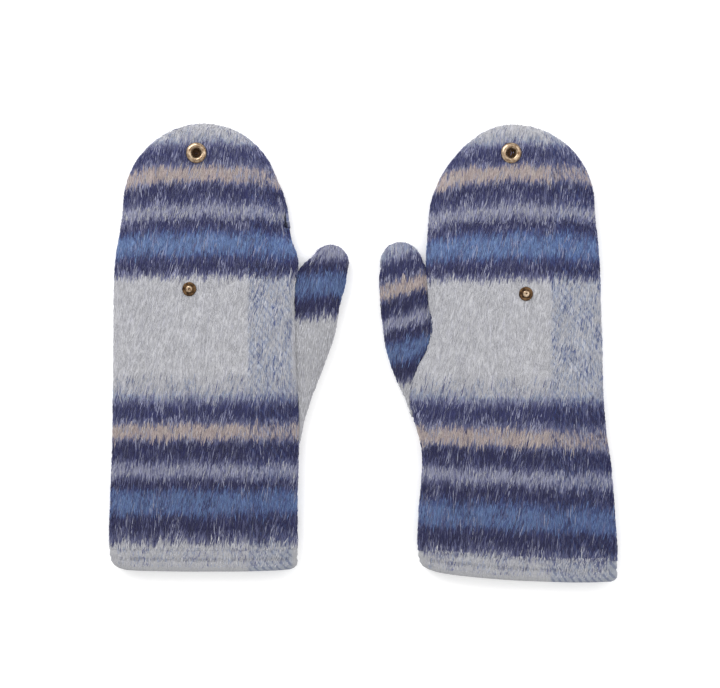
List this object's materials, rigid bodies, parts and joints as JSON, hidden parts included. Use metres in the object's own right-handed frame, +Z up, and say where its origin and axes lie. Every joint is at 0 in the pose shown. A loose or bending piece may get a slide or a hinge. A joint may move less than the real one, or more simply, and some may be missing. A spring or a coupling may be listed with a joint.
{
  "type": "fingerless gloves",
  "caption": "Pair of brushed check mittens lying flat; each cap folds back to leave the fingers free and snaps down on the back of the hand.",
  "frame": {"origin": "centre of the pair's box, on the surface that the gloves lie on", "axes": "+X along the row from the left glove to the right one, +Y to the fingertips, +Z up from the surface"},
  "size_m": [0.2936, 0.2654, 0.0184],
  "materials": {
    "check_cloth": "brushed blue, grey and pink check wool",
    "lining_fleece": "soft dark navy fleece",
    "ring_brass": "antique champagne brass",
    "stud_brass": "dark antique brass"
  },
  "bodies": {
    "left_hand": {"left_hand_back_shell": "check_cloth", "left_hand_palm_shell": "check_cloth", "left_hand_lining": "lining_fleece", "left_cuff_hem": "check_cloth", "left_finger_band": "check_cloth", "left_thumb_back_shell": "check_cloth", "left_thumb_palm_shell": "check_cloth", "left_thumb_lining": "lining_fleece", "left_snap_stud": "stud_brass", "left_snap_stud_eyelet": "stud_brass"},
    "left_cap": {"left_cap_back_shell": "check_cloth", "left_cap_palm_shell": "check_cloth", "left_cap_lining": "lining_fleece", "left_cap_hem": "check_cloth", "left_snap_socket": "ring_brass", "left_snap_socket_spring": "ring_brass", "left_snap_socket_cap": "ring_brass"},
    "right_hand": {"right_hand_back_shell": "check_cloth", "right_hand_palm_shell": "check_cloth", "right_hand_lining": "lining_fleece", "right_cuff_hem": "check_cloth", "right_finger_band": "check_cloth", "right_thumb_back_shell": "check_cloth", "right_thumb_palm_shell": "check_cloth", "right_thumb_lining": "lining_fleece", "right_snap_stud": "stud_brass", "right_snap_stud_eyelet": "stud_brass"},
    "right_cap": {"right_cap_back_shell": "check_cloth", "right_cap_palm_shell": "check_cloth", "right_cap_lining": "lining_fleece", "right_cap_hem": "check_cloth", "right_snap_socket": "ring_brass", "right_snap_socket_spring": "ring_brass", "right_snap_socket_cap": "ring_brass"}
  },
  "joints": [
    {"name": "left_cap_fold", "type": "hinge", "parent": "left_hand", "child": "left_cap", "pos_m": [-0.0981, 0.0759, 0.0172], "axis": [0.9987, -0.0516, 0], "range_deg": [0, 180]},
    {"name": "right_glove_apart", "type": "slide", "parent": "left_hand", "child": "right_hand", "axis": [1, 0, 0], "range_m": [0, 0.1]},
    {"name": "right_cap_fold", "type": "hinge", "parent": "right_hand", "child": "right_cap", "pos_m": [0.0891, 0.0745, 0.0172], "axis": [0.9946, 0.1042, 0], "range_deg": [0, 180]}
  ]
}
